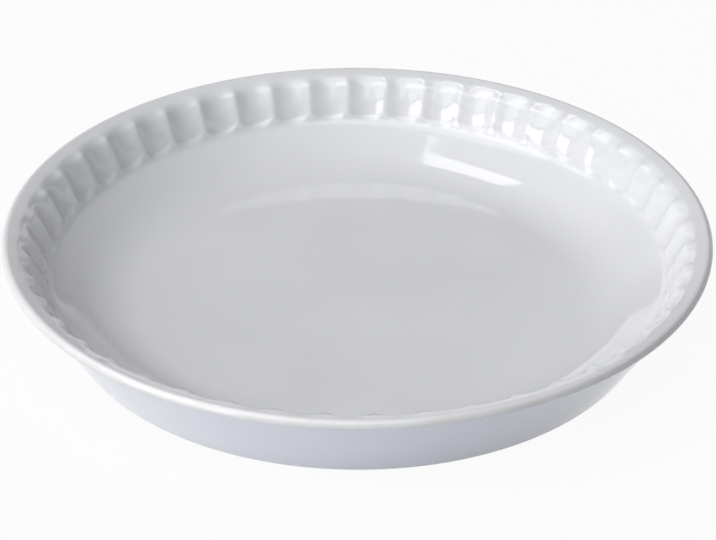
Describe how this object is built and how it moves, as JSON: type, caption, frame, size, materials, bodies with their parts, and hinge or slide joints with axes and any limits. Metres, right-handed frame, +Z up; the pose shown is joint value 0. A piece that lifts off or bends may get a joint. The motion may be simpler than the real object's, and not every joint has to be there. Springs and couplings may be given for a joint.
{
  "type": "fluted pie dish",
  "caption": "Round shallow glazed stoneware pie dish with flared wall, rounded lip and a ring of thumb-like scoops inside the rim.",
  "frame": {"origin": "centre of the standing ring's face, on the dish's axis, at the surface that it stands on", "axes": "+Z up along the axis of the dish, out of its open side; one scoop is centred on +X"},
  "size_m": [0.2599, 0.26, 0.0354],
  "materials": {
    "white_glaze": "glossy white glaze",
    "bare_stoneware": "matte bare fired clay"
  },
  "bodies": {
    "root": {"glazed_dish": "white_glaze", "standing_ring": "bare_stoneware"}
  },
  "joints": []
}
